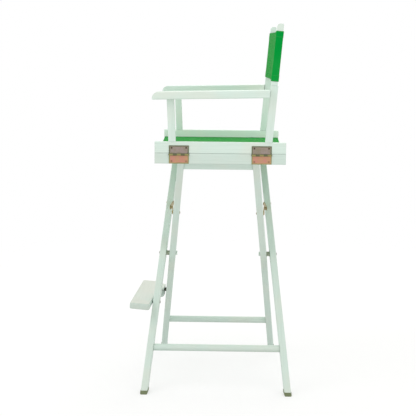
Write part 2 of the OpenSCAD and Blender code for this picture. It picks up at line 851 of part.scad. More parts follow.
// The bolt on which the footrest turns, through the outer front leg
module at_foot_bolt() {
    outer_frame() at_front_leg(leg_spread) translate([0, 0, foot_s]) children();
}

module at_footrest() {
    at_foot_bolt() rotate([0, link_angle, 0]) children();
}

module footrest_bolt() {
    rod_y(foot_bolt_d, board_back - foot_bolt_in, leg_t / 2 + fit);
    translate([0, leg_t / 2, 0]) rotate([-90, 0, 0]) dome(foot_head_d, foot_head_h);
}

module footrest_washer() {
    difference() {
        rod_y(foot_washer_d, board_back + fit, -leg_t / 2 - fit);
        rod_y(foot_bolt_d + 2 * fit, -leg_t, 0);
    }
}

module board() {
    mid_x = foot_out - foot_len / 2;
    mid_y = board_back - foot_depth / 2;
    difference() {
        intersection() {
            translate([mid_x, mid_y, board_under + foot_t / 2]) {
                rotate([0, 0, 90]) bar_y(foot_depth, foot_t, board_edge_r, foot_len);
            }
            translate([mid_x, mid_y, board_under - over]) {
                linear_extrude(foot_t + 2 * over) rounded_rect(foot_len, foot_depth, board_corner_r);
            }
        }
        rod_y(foot_bolt_d + 2 * fit, board_back - foot_bolt_in - hole_room, 0);
        block_screw_places() flat_screw_hole(block_screw_d, 2 * block_screw_d, block_screw_len);
    }
}

// The stud in the inner front leg: a pin, a flange against the leg and a shank in it
module at_stud() {
    inner_frame() at_front_leg(inner_spread) translate([0, 0, stud_s]) children();
}

module rest_stud() {
    at_stud() {
        rod_y(foot_bolt_d, -leg_t / 2 - over, -leg_t / 2 + stud_in);
        rod_y(stud_flange_d, -leg_t / 2 - fit - stud_flange_h, -leg_t / 2 - fit);
        rod_y(stud_d, -leg_t / 2 - stud_flange_h - stud_pin, -leg_t / 2 - over);
    }
}

// The block behind the far end of the board, notched to sit on the stud
module block() {
    difference() {
        translate([block_end, board_back, block_under]) {
            rotate([90, 0, 90]) linear_extrude(block_w) block_profile();
        }
        translate(stud_at) rotate([0, 0, stud_turn]) {
            translate([-stud_d / 2 - notch_side, -big / 2, -big + stud_d / 2 + 2 * fit]) cube(big);
        }
        block_screw_places() flat_screw_hole(block_screw_d, 2 * block_screw_d, block_screw_len);
    }
}

// Side profile of the block: its lower rear corner is rounded
module block_profile() {
    depth = block_back - board_back - fit;
    translate([fit, 0]) difference() {
        square([depth, foot_rise - block_under]);
        translate([depth - block_corner_r, -over]) difference() {
            square([block_corner_r + over, block_corner_r + over]);
            translate([0, block_corner_r + over]) circle(r = block_corner_r);
        }
    }
}

module block_screw_places() {
    for (dx = [block_screw_in, block_screw_in + block_screw_step]) {
        translate([block_end + dx, block_back, block_screw_up]) rotate([-90, 0, 0]) children();
    }
}

// Outer leg frame
module outer_front_leg() {
    color(paint) chair() difference() {
        leg(leg_spread, 1);
        at_foot_bolt() rod_y(foot_bolt_d + 2 * fit, -leg_t, leg_t);
    }
}

module outer_rear_leg() {
    color(paint) chair() mirror([0, 1, 0]) leg(leg_spread, 1);
}

module outer_stretcher() {
    color(paint) chair() stretcher(leg_spread);
}

module outer_apron() {
    color(paint) chair() apron(leg_spread);
}

module lower_rail_right() {
    color(paint) chair() lower_rail(leg_spread);
}

module outer_glides() {
    color(olive) chair() front_and_rear() glide(leg_spread);
}

module outer_rail_screws() {
    color(steel) chair() front_and_rear() {
        rail_screw_place(leg_spread) flat_screw(rail_screw_d, rail_screw_head, rail_screw_len);
    }
}

module pivot_bolts() {
    color(steel) chair() front_and_rear() pivot_bolt();
}

module pivot_spacers() {
    color(steel) chair() front_and_rear() pivot_spacer();
}

module pivot_nuts() {
    color(steel) chair() front_and_rear() pivot_nut();
}

module footrest_pivot_bolt() {
    color(dark_steel) chair() at_footrest() footrest_bolt();
}

module footrest_pivot_washer() {
    color(dark_steel) chair() at_footrest() footrest_washer();
}

module outer_brace_bolts() {
    color(steel) chair() front_and_rear() brace_bolt(leg_spread, 1);
}

module hinge_lower_leaves_right() {
    color(copper) chair() seat_place() right_side() hinge_leaves(-1, lower_leaf_screw_z);
}

module hinge_lower_screws_right() {
    color(bronze) chair() seat_place() right_side() hinge_screws(lower_leaf_screw_z);
}

// Inner leg frame
module inner_front_leg() {
    color(paint) chair() difference() {
        mirror([1, 0, 0]) leg(inner_spread, -1);
        at_stud() rod_y(foot_bolt_d + 2 * fit, -leg_t, -leg_t / 2 + stud_in + hole_room);
    }
}

module inner_rear_leg() {
    color(paint) chair() mirror([1, 0, 0]) mirror([0, 1, 0]) leg(inner_spread, -1);
}

module inner_stretcher() {
    color(paint) chair() mirror([1, 0, 0]) stretcher(inner_spread);
}

module inner_apron() {
    color(paint) chair() mirror([1, 0, 0]) apron(inner_spread);
}

module lower_rail_left() {
    color(paint) chair() mirror([1, 0, 0]) lower_rail(inner_spread);
}

module inner_glides() {
    color(olive) chair() mirror([1, 0, 0]) front_and_rear() glide(inner_spread);
}

module inner_rail_screws() {
    color(steel) chair() mirror([1, 0, 0]) front_and_rear() {
        rail_screw_place(inner_spread) flat_screw(rail_screw_d, rail_screw_head, rail_screw_len);
    }
}

module inner_brace_bolts() {
    color(steel) chair() mirror([1, 0, 0]) front_and_rear() brace_bolt(inner_spread, -1);
}

module footrest_rest_stud() {
    color(dark_steel) chair() rest_stud();
}

module hinge_lower_leaves_left() {
    color(copper) chair() seat_place() hinge_leaves(-1, lower_leaf_screw_z);
}

module hinge_lower_screws_left() {
    color(bronze) chair() seat_place() hinge_screws(lower_leaf_screw_z);
}

// Left-hand arm unit
module upper_rail_left() {
    color(paint) chair() seat_place() upper_rail();
}

module front_post_left() {
    color(paint) chair() seat_place() front_post();
}

module back_post_left() {
    color(paint) chair() seat_place() back_post();
}

module armrest_left() {
    color(paint) chair() seat_place() armrest_whole();
}

module hinge_upper_leaves_left() {
    color(bronze) chair() seat_place() hinge_leaves(1, upper_leaf_screw_z);
}

module hinge_pins_left() {
    color(bronze) chair() seat_place() hinge_pins();
}

module hinge_upper_screws_left() {
    color(bronze) chair() seat_place() hinge_screws(upper_leaf_screw_z);
}

module seat_rod_left() {
    color(steel) chair() seat_place() seat_rod();
}

// Right-hand arm unit
module upper_rail_right() {
    color(paint) chair() seat_place() right_side() upper_rail();
}

module front_post_right() {
    color(paint) chair() seat_place() right_side() front_post();
}

module back_post_right() {
    color(paint) chair() seat_place() right_side() back_post();
}

module armrest_right() {
    color(paint) chair() seat_place() right_side() armrest_whole();
}

module hinge_upper_leaves_right() {
    color(bronze) chair() seat_place() right_side() hinge_leaves(1, upper_leaf_screw_z);
}

module hinge_pins_right() {
    color(bronze) chair() seat_place() right_side() hinge_pins();
}

module hinge_upper_screws_right() {
    color(bronze) chair() seat_place() right_side() hinge_screws(upper_leaf_screw_z);
}

module seat_rod_right() {
    color(steel) chair() seat_place() right_side() seat_rod();
}

// Folding braces
module brace_link_front_outer() {
    color(steel) chair() brace_place(leg_spread, 1) link();
}

module brace_link_rear_outer() {
    color(steel) chair() mirror([0, 1, 0]) brace_place(leg_spread, 1) link();
}

module brace_link_front_inner() {
    color(steel) chair() mirror([1, 0, 0]) brace_place(inner_spread, -1) link();
}

module brace_link_rear_inner() {
    color(steel) chair() mirror([1, 0, 0]) mirror([0, 1, 0]) brace_place(inner_spread, -1) link();
}

module brace_rivet_front_outer() {
    color(steel) chair() brace_place(leg_spread, 1) half_rivet(1);
}

module brace_rivet_rear_outer() {
    color(steel) chair() mirror([0, 1, 0]) brace_place(leg_spread, 1) half_rivet(1);
}

module brace_rivet_front_inner() {
    color(steel) chair() mirror([1, 0, 0]) brace_place(inner_spread, -1) half_rivet(-1);
}

module brace_rivet_rear_inner() {
    color(steel) chair() mirror([1, 0, 0]) mirror([0, 1, 0]) brace_place(inner_spread, -1) half_rivet(-1);
}

// Canvas
module seat_canvas_left() {
    color(canvas_green) chair() seat_place() seat_canvas();
}

module seat_canvas_right() {
    color(canvas_green) chair() seat_place() right_side() seat_canvas();
}

module back_canvas_left() {
    color(canvas_green) chair() seat_place() back_canvas();
}

module back_canvas_right() {
    color(canvas_green) chair() seat_place() right_side() back_canvas();
}

// Footrest
module footrest_board() {
    color(paint) chair() at_footrest() board();
}

module footrest_block() {
    color(paint) chair() at_footrest() block();
}

module footrest_screws() {
    color(steel) chair() at_footrest() block_screw_places() {
        flat_screw(block_screw_d, 2 * block_screw_d, block_screw_len);
    }
}

outer_front_leg();
outer_rear_leg();
outer_stretcher();
outer_apron();
lower_rail_right();
outer_glides();
outer_rail_screws();
pivot_bolts();
pivot_spacers();
pivot_nuts();
footrest_pivot_bolt();
footrest_pivot_washer();
outer_brace_bolts();
hinge_lower_leaves_right();
hinge_lower_screws_right();
inner_front_leg();
inner_rear_leg();
inner_stretcher();
inner_apron();
lower_rail_left();
inner_glides();
inner_rail_screws();
inner_brace_bolts();
footrest_rest_stud();
hinge_lower_leaves_left();
hinge_lower_screws_left();
upper_rail_left();
front_post_left();
back_post_left();
armrest_left();
hinge_upper_leaves_left();
hinge_pins_left();
hinge_upper_screws_left();
seat_rod_left();
upper_rail_right();
front_post_right();
back_post_right();
armrest_right();
hinge_upper_leaves_right();
hinge_pins_right();
hinge_upper_screws_right();
seat_rod_right();
brace_link_front_outer();
brace_link_rear_outer();
brace_link_front_inner();
brace_link_rear_inner();
brace_rivet_front_outer();
brace_rivet_rear_outer();
brace_rivet_front_inner();
brace_rivet_rear_inner();
footrest_board();
footrest_block();
footrest_screws();
seat_canvas_left();
seat_canvas_right();
back_canvas_left();
back_canvas_right();
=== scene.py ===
"""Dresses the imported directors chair: painted wood, green canvas, plated hinges and rubber feet."""
import math

import bpy
from mathutils import Matrix, Vector, noise


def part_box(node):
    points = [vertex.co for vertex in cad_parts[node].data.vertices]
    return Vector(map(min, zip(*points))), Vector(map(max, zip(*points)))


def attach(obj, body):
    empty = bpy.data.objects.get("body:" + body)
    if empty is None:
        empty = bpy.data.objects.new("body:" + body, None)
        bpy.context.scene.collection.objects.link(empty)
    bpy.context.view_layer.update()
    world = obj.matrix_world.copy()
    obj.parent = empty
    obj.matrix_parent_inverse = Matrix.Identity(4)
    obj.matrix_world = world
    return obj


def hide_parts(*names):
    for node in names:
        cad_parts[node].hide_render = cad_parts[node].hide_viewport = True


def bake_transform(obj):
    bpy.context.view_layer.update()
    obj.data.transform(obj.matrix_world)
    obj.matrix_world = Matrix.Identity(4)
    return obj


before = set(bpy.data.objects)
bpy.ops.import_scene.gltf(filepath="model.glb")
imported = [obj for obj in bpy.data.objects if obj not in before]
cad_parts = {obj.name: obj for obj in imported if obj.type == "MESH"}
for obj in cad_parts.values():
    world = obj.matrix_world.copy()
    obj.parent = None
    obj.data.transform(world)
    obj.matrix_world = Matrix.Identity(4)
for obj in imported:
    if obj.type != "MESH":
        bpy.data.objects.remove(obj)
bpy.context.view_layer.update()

# Sizes in metres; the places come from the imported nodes
MM = 0.001
CLOTH_T = 1.0 * MM
HEM_W = 20 * MM
CHANNEL_IN = 12.5 * MM
CHANNEL_UP = 8 * MM
ROD_R = 2.5 * MM
ROD_GAP = 0.3 * MM
SEAT_LEN = 393 * MM
SEAT_SAG = 7 * MM
BACK_BOW = 7 * MM
BACK_H = 149.5 * MM
CREASE = 0.02 * MM
FOLD_ROOM = 26 * MM
SEAM_INSET = 2.5 * MM
HEM_SEAMS = (SEAM_INSET, HEM_W - SEAM_INSET)
STICK_W = 19.6 * MM
STICK_SHIFT = 1.2 * MM
BACK_LEAN = math.radians(5)
BACK_LOW = 184.65 * MM

rail_low, rail_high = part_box("upper_rail_left")
MID_Y = (rail_low.y + rail_high.y) / 2
RAIL_IN = rail_low.x
RAIL_MID = (rail_low.x + rail_high.x) / 2
RAIL_TOP = rail_high.z
CHANNEL_X = rail_high.x - CHANNEL_IN
CHANNEL_Z = rail_low.z + CHANNEL_UP
BACK_POST_Y = MID_Y + 146 * MM
SEAT_LAP = RAIL_IN - 19 * MM
BACK_BEND = RAIL_IN - 15 * MM
BACK_LAP = RAIL_IN - 23 * MM

# Camera, as the photograph was taken: from the sitter's left, a little above the seat
CAMERA_AT = Vector((3.4653, 0.0187, 1.0610))
CAMERA_YAW = math.radians(-0.967)
CAMERA_PITCH = math.radians(8.468)
CAMERA_ROLL = math.radians(0.535)
CAMERA_FOCAL = 1065.3
PHOTO_SIZE = 416
SENSOR_WIDTH = 36
NEAREST = 0.1
FARTHEST = 100


def make_camera():
    """A camera at the photograph's place, looking along -X."""
    forward = Vector((-math.cos(CAMERA_YAW) * math.cos(CAMERA_PITCH),
                      math.sin(CAMERA_YAW) * math.cos(CAMERA_PITCH),
                      -math.sin(CAMERA_PITCH)))
    right = forward.cross(Vector((0, 0, 1))).normalized()
    up = right.cross(forward)
    side = right * math.cos(CAMERA_ROLL) + up * math.sin(CAMERA_ROLL)
    top = up * math.cos(CAMERA_ROLL) - right * math.sin(CAMERA_ROLL)
    turn = Matrix((side, top, -forward)).transposed()
    data = bpy.data.cameras.new("camera")
    data.sensor_width = SENSOR_WIDTH
    data.lens = CAMERA_FOCAL / PHOTO_SIZE * SENSOR_WIDTH
    data.clip_start = NEAREST
    data.clip_end = FARTHEST
    camera = bpy.data.objects.new("camera", data)
    camera.matrix_world = Matrix.Translation(CAMERA_AT + Vector((0, MID_Y, 0))) @ turn.to_4x4()
    bpy.context.scene.collection.objects.link(camera)
    bpy.context.scene.camera = camera


EDGE_SAMPLES = 6
EDGE_RANGE = (0.02, 0.25)


class Shader:
    """A small helper that adds and links shader nodes."""

    def __init__(self, name):
        self.material = bpy.data.materials.new(name)
        self.material.use_nodes = True
        self.tree = self.material.node_tree
        self.surface = self.tree.nodes["Principled BSDF"]

    def set(self, node, socket, value):
        """Sets a socket to a value, or links it when the value is another node's output."""
        target = node.inputs[socket]
        if isinstance(value, bpy.types.NodeSocket):
            self.tree.links.new(value, target)
        else:
            target.default_value = value

    def add(self, kind, inputs=None, **settings):
        """Adds a node of a kind, with its settings and its inputs."""
        node = self.tree.nodes.new("ShaderNode" + kind)
        for name, value in settings.items():
            setattr(node, name, value)
        for socket, value in (inputs or {}).items():
            self.set(node, socket, value)
        return node

    def math(self, operation, first, second=0.5):
        """One operation on two values."""
        return self.add("Math", {0: first, 1: second}, operation=operation).outputs[0]

    def mix(self, factor, first, second, blend="MIX"):
        """Mixes two colours."""
        node = self.add("Mix", None, data_type="RGBA", blend_type=blend)
        for socket, value in ((0, factor), (6, first), (7, second)):
            self.set(node, socket, value)
        return node.outputs[2]

    def ramp(self, factor, low, high, from_value=0.0, to_value=1.0):
        """Maps a range of a value to another, smoothly and clamped."""
        node = self.add("MapRange", {0: factor, 1: low, 2: high, 3: from_value, 4: to_value},
                        interpolation_type="SMOOTHSTEP")
        return node.outputs[0]

    def coordinates(self):
        """The place on the object, in metres."""
        return self.add("TexCoord").outputs["Object"]

    def scaled(self, vector, scale):
        """A place stretched by a factor on each axis."""
        return self.add("Mapping", {"Vector": vector, "Scale": scale}).outputs[0]

    def noise(self, vector, scale, detail=3.0, roughness=0.5):
        """Noise from 0 to 1."""
        inputs = {"Vector": vector, "Scale": scale, "Detail": detail, "Roughness": roughness}
        return self.add("TexNoise", inputs).outputs["Fac"]

    def bump(self, height, strength, distance, normal=None):
        """The normal of a surface with a fine relief."""
        inputs = {"Height": height, "Strength": strength, "Distance": distance}
        if normal is not None:
            inputs["Normal"] = normal
        return self.add("Bump", inputs).outputs[0]

    def edges(self, radius):
        """The rounded normal of nearby edges, and a mask that is 1 on them."""
        bevel = self.add("Bevel", {"Radius": radius}, samples=EDGE_SAMPLES).outputs[0]
        straight = self.add("NewGeometry").outputs["Normal"]
        same = self.add("VectorMath", {0: bevel, 1: straight}, operation="DOT_PRODUCT")
        away = self.math("SUBTRACT", 1.0, same.outputs["Value"])
        return bevel, self.ramp(away, *EDGE_RANGE)

    def finish(self, colour, roughness, normal, metallic=0.0, **constants):
        """Feeds the surface and gives back the material."""
        self.set(self.surface, "Base Color", colour)
        self.set(self.surface, "Roughness", roughness)
        self.set(self.surface, "Normal", normal)
        self.set(self.surface, "Metallic", metallic)
        for socket, value in constants.items():
            self.set(self.surface, socket.replace("_", " "), value)
        return self.material


PAINT = (0.70, 0.83, 0.76, 1)
PAINT_DEEP = (0.62, 0.76, 0.68, 1)
PAINT_WARM = (0.76, 0.79, 0.70, 1)
BARE_WOOD = (0.62, 0.50, 0.36, 1)
PAINT_CORNER = 1.1 * MM
PAINT_RELIEF = 0.25 * MM
RUB_SHARE = 0.45
# Painted shade: ambient occlusion darkens the paint in corners, seams and gaps between parts
SHADE_REACH = 4 * MM
SHADE_SAMPLES = 8
PAINTED_SHADE_DEPTH = 0.5


def toned(colour, share):
    """A colour made darker or lighter."""
    return tuple(min(1.0, value * share) for value in colour[:3]) + (1,)


def painted_wood(name, grain, tone=1.0, wear=0.0):
    """Brushed mint paint over wood, whose grain runs along a direction; wear shows on its top, and
    painted shade darkens its corners and seams.
    """
    shade = Shader(name)
    turn = Vector(grain).normalized().rotation_difference(Vector((0, 0, 1))).to_euler()
    along = shade.add("Mapping", {"Vector": shade.coordinates(), "Rotation": turn}).outputs[0]
    fine = shade.noise(shade.scaled(along, (900, 900, 22)), 1.0, detail=4.0, roughness=0.6)
    brush = shade.noise(shade.scaled(along, (260, 260, 9)), 1.0, roughness=0.55)
    broad = shade.noise(along, 9.0, detail=2.0)
    specks = shade.noise(along, 420.0, detail=2.0, roughness=0.6)
    bevel, edge = shade.edges(PAINT_CORNER)
    occlusion = shade.add("AmbientOcclusion", {"Distance": SHADE_REACH}, samples=SHADE_SAMPLES)
    fresh, deep, warm = (toned(paint, tone) for paint in (PAINT, PAINT_DEEP, PAINT_WARM))
    colour = shade.mix(shade.ramp(brush, 0.35, 0.7, to_value=0.55), fresh, deep)
    colour = shade.mix(shade.ramp(broad, 0.4, 0.72, to_value=0.5), colour, warm)
    if wear:
        normal = shade.add("NewGeometry").outputs["Normal"]
        facing = shade.add("VectorTransform", {"Vector": normal}, vector_type="NORMAL",
                           convert_from="WORLD", convert_to="OBJECT").outputs[0]
        level = shade.ramp(shade.add("SeparateXYZ", {0: facing}).outputs[2], 0.75, 0.97)
        patchy = shade.ramp(broad, 0.25, 0.6, from_value=wear / 2, to_value=wear)
        trodden = shade.math("MULTIPLY", level, patchy)
        colour = shade.mix(trodden, colour, warm)
    rubbed = shade.math("MULTIPLY", edge, shade.ramp(specks, 0.56, 0.68))
    colour = shade.mix(shade.math("MULTIPLY", rubbed, RUB_SHARE), colour, BARE_WOOD)
    # Painted shade: the colour is darkened where ambient occlusion finds corners, seams and gaps
    painted_shade = shade.ramp(occlusion.outputs["AO"], 0.25, 0.85, from_value=PAINTED_SHADE_DEPTH)
    grey = shade.add("CombineColor", {0: painted_shade, 1: painted_shade, 2: painted_shade}).outputs[0]
    colour = shade.mix(1.0, colour, grey, "MULTIPLY")
    strokes = shade.math("MULTIPLY", brush, 0.6)
    height = shade.math("ADD", shade.math("MULTIPLY", fine, 0.4), strokes)
    normal = shade.bump(height, 0.35, PAINT_RELIEF, bevel)
    roughness = shade.ramp(brush, 0.3, 0.8, from_value=0.38, to_value=0.52)
    return shade.finish(colour, roughness, normal, Coat_Weight=0.08, Coat_Roughness=0.35)


CANVAS = (0.001, 0.300, 0.038, 1)
CANVAS_LIGHT = (0.004, 0.370, 0.058, 1)
CANVAS_WORN = (0.045, 0.43, 0.10, 1)
CANVAS_GLOW = (0.75, 1.0, 0.62, 1)
WEAVE = 1.1 * MM
WEAVE_RELIEF = 0.35 * MM
FACING = 0.7


def canvas_material():
    """Plain-weave cotton canvas, whose threads follow the two axes that the cloth faces least."""
    shade = Shader("canvas")
    place = shade.coordinates()
    split = shade.add("SeparateXYZ", {0: place})
    flat = shade.add("NewGeometry").outputs["True Normal"]
    facing = shade.add("VectorMath", {0: flat}, operation="ABSOLUTE")
    face = shade.add("SeparateXYZ", {0: facing.outputs[0]})
    faces_x = shade.math("GREATER_THAN", face.outputs[0], FACING)
    faces_z = shade.math("GREATER_THAN", face.outputs[2], FACING)

    def choose(switch, off, on):
        """One axis of the place, or another where the switch is 1."""
        gap = shade.math("SUBTRACT", split.outputs[on], split.outputs[off])
        return shade.math("ADD", split.outputs[off], shade.math("MULTIPLY", gap, switch))

    def wave(value):
        """A wave with one thread of each direction to a period."""
        return shade.math("SINE", shade.math("MULTIPLY", value, 2 * math.pi / WEAVE))

    warp = wave(choose(faces_x, 0, 1))
    weft = wave(choose(faces_z, 2, 1))
    over = shade.ramp(shade.math("MULTIPLY", warp, weft), -0.2, 0.2)
    under = shade.math("SUBTRACT", 1.0, over)
    ridges = shade.math("MULTIPLY", shade.math("ABSOLUTE", warp), over)
    weave = shade.math("ADD", ridges, shade.math("MULTIPLY", shade.math("ABSOLUTE", weft), under))
    slub = shade.noise(shade.scaled(place, (60, 700, 60)), 1.0, roughness=0.6)
    cross_slub = shade.noise(shade.scaled(place, (700, 60, 700)), 1.0, roughness=0.6)
    fuzz = shade.noise(place, 1400.0, roughness=0.7)
    faded = shade.noise(place, 7.0, roughness=0.55)
    threads = shade.math("ADD", slub, cross_slub)
    colour = shade.mix(shade.math("MULTIPLY", weave, 0.55), CANVAS, CANVAS_LIGHT)
    colour = shade.mix(shade.ramp(threads, 0.9, 1.35, to_value=0.3), colour, CANVAS_LIGHT)
    colour = shade.mix(shade.ramp(faded, 0.5, 0.75, to_value=0.22), colour, CANVAS_WORN)
    height = shade.math("ADD", weave, shade.math("MULTIPLY", fuzz, 0.5))
    height = shade.math("ADD", height, shade.math("MULTIPLY", threads, 0.5))
    normal = shade.bump(height, 0.55, WEAVE_RELIEF)
    return shade.finish(colour, 0.9, normal, Sheen_Weight=0.35, Sheen_Roughness=0.3,
                        Sheen_Tint=CANVAS_GLOW, Specular_IOR_Level=0.0)


THREAD_DARK = (0.008, 0.32, 0.05, 1)
THREAD_LIGHT = (0.06, 0.44, 0.12, 1)
THREAD_RELIEF = 0.1 * MM


def thread_material():
    """Twisted green cotton thread, a little lighter than the canvas."""
    shade = Shader("thread")
    twist = shade.noise(shade.coordinates(), 2600.0, detail=2.0, roughness=0.6)
    colour = shade.mix(twist, THREAD_DARK, THREAD_LIGHT)
    return shade.finish(colour, 0.7, shade.bump(twist, 0.4, THREAD_RELIEF), Sheen_Weight=0.3)


UPPER_PLAIN = (0.335, 0.262, 0.240, 1)
UPPER_STAIN = (0.270, 0.238, 0.165, 1)
UPPER_RIM = (0.085, 0.115, 0.035, 1)
LOWER_PLAIN = (0.570, 0.245, 0.190, 1)
LOWER_STAIN = (0.540, 0.300, 0.165, 1)
LOWER_RIM = (0.250, 0.285, 0.085, 1)
LEAF_HIDDEN = 3 * MM
LEAF_HALF = 30 * MM
LEAF_CORNER = 0.5 * MM
LEAF_RELIEF = 0.12 * MM
RIM_RAGGED = 6 * MM
RIM_RANGE = (1.2 * MM, 4.8 * MM)


def plated_leaf(name, plain, stain, rim, low_z, high_z):
    """Thin bronzed plate with mottled patina and a darker, oily rim round each leaf."""
    shade = Shader(name)
    place = shade.coordinates()
    split = shade.add("SeparateXYZ", {0: place})
    patches = shade.noise(place, 75.0, detail=4.0, roughness=0.6)
    grain = shade.noise(shade.scaled(place, (300, 1500, 300)), 1.0, roughness=0.6)
    spots = shade.noise(place, 260.0, roughness=0.65)
    hinge_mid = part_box("hinge_upper_leaves_left")[1].y - LEAF_HALF - MID_Y
    along = shade.math("ABSOLUTE", shade.math("SUBTRACT", split.outputs[1], MID_Y))
    along = shade.math("ABSOLUTE", shade.math("SUBTRACT", along, hinge_mid))
    end_gap = shade.math("SUBTRACT", LEAF_HALF, along)
    low_gap = shade.math("SUBTRACT", split.outputs[2], low_z)
    high_gap = shade.math("SUBTRACT", high_z, split.outputs[2])
    gap = shade.math("MINIMUM", end_gap, shade.math("MINIMUM", low_gap, high_gap))
    wander = shade.math("MULTIPLY", shade.math("SUBTRACT", patches, 0.5), RIM_RAGGED)
    edge_mask = shade.ramp(shade.math("ADD", gap, wander), *RIM_RANGE, from_value=1.0, to_value=0.0)
    colour = shade.mix(shade.ramp(patches, 0.38, 0.66), plain, stain)
    colour = shade.mix(shade.ramp(spots, 0.6, 0.72, to_value=0.55), colour, rim)
    colour = shade.mix(shade.math("MULTIPLY", edge_mask, 0.85), colour, rim)
    bevel, worn = shade.edges(LEAF_CORNER)
    colour = shade.mix(shade.math("MULTIPLY", worn, 0.25), colour, plain)
    normal = shade.bump(shade.math("ADD", grain, spots), 0.25, LEAF_RELIEF, bevel)
    roughness = shade.ramp(patches, 0.3, 0.7, from_value=0.34, to_value=0.56)
    return shade.finish(colour, roughness, normal, 0.3)


LEAF_SCREW = (0.11, 0.085, 0.05, 1)
LOWER_SCREW = (0.40, 0.22, 0.12, 1)
ZINC = (0.50, 0.50, 0.46, 1)
DARK_STEEL = (0.075, 0.080, 0.060, 1)
SPACER = (0.42, 0.46, 0.35, 1)
YELLOW_ZINC = (0.50, 0.40, 0.20, 1)
DULL_TONE = 0.62
WORN_TONE = 1.35
METAL_CORNER = 0.35 * MM
SCRATCH_RELIEF = 0.06 * MM


def metal(name, colour, rough, metallic=0.85):
    """Plain fastener metal with fine scratches and dull patches."""
    shade = Shader(name)
    place = shade.coordinates()
    dull = shade.noise(place, 180.0, roughness=0.6)
    lines = shade.noise(shade.scaled(place, (1800, 240, 1800)), 1.0, detail=2.0)
    tone = shade.mix(shade.ramp(dull, 0.35, 0.7), colour, toned(colour, DULL_TONE))
    bevel, worn = shade.edges(METAL_CORNER)
    tone = shade.mix(shade.math("MULTIPLY", worn, 0.5), tone, toned(colour, WORN_TONE))
    normal = shade.bump(lines, 0.25, SCRATCH_RELIEF, bevel)
    roughness = shade.ramp(dull, 0.3, 0.7, from_value=rough, to_value=rough + 0.18)
    return shade.finish(tone, roughness, normal, metallic)


RUBBER = (0.155, 0.185, 0.095, 1)
RUBBER_SCUFFED = (0.26, 0.30, 0.17, 1)
RUBBER_WORN = (0.36, 0.40, 0.27, 1)
RUBBER_CORNER = 0.8 * MM
RUBBER_RELIEF = 0.12 * MM


def rubber():
    """Olive-grey moulded rubber with scuffs."""
    shade = Shader("glide_rubber")
    place = shade.coordinates()
    grain = shade.noise(place, 900.0, roughness=0.6)
    scuff = shade.noise(place, 60.0, detail=4.0, roughness=0.65)
    colour = shade.mix(shade.ramp(scuff, 0.45, 0.7), RUBBER, RUBBER_SCUFFED)
    bevel, worn = shade.edges(RUBBER_CORNER)
    colour = shade.mix(shade.math("MULTIPLY", worn, 0.4), colour, RUBBER_WORN)
    return shade.finish(colour, 0.72, shade.bump(grain, 0.3, RUBBER_RELIEF, bevel))


def mesh_object(name, points, faces, material, smooth=True):
    """A mesh piece from points and faces."""
    mesh = bpy.data.meshes.new(name)
    mesh.from_pydata([tuple(p) for p in points], [], faces)
    mesh.validate()
    mesh.polygons.foreach_set("use_smooth", [smooth] * len(mesh.polygons))
    mesh.materials.append(material)
    mesh.update()
    piece = bpy.data.objects.new(name, mesh)
    bpy.context.scene.collection.objects.link(piece)
    return piece


def outward(piece):
    """Turns a closed mesh's faces outward."""
    bpy.context.view_layer.objects.active = piece
    bpy.ops.object.select_all(action="DESELECT")
    piece.select_set(True)
    bpy.ops.object.mode_set(mode="EDIT")
    bpy.ops.mesh.select_all(action="SELECT")
    bpy.ops.mesh.normals_make_consistent(inside=False)
    bpy.ops.object.mode_set(mode="OBJECT")


def evenly(points, spacing):
    """Points at about an even spacing along an open line of 2-D points."""
    out = [points[0]]
    for start, end in zip(points, points[1:]):
        count = max(1, round((end - start).length / spacing))
        out += [start.lerp(end, i / count) for i in range(1, count + 1)]
    return out


CORNER_STEPS = 5


def rounded(points, radius):
    """A line of 2-D points whose inner corners are drawn round."""
    out = [points[0]]
    for before, corner, after in zip(points, points[1:], points[2:]):
        start = corner + (before - corner).normalized() * radius
        end = corner + (after - corner).normalized() * radius
        for k in range(CORNER_STEPS + 1):
            share = k / CORNER_STEPS
            out.append(start.lerp(corner, share).lerp(corner.lerp(end, share), share))
    return out + [points[-1]]


def smooth(value, low, high):
    """Rises smoothly from 0 at low to 1 at high."""
    share = max(0.0, min(1.0, (value - low) / (high - low)))
    return share * share * (3 - 2 * share)


LINE_STEPS = 60


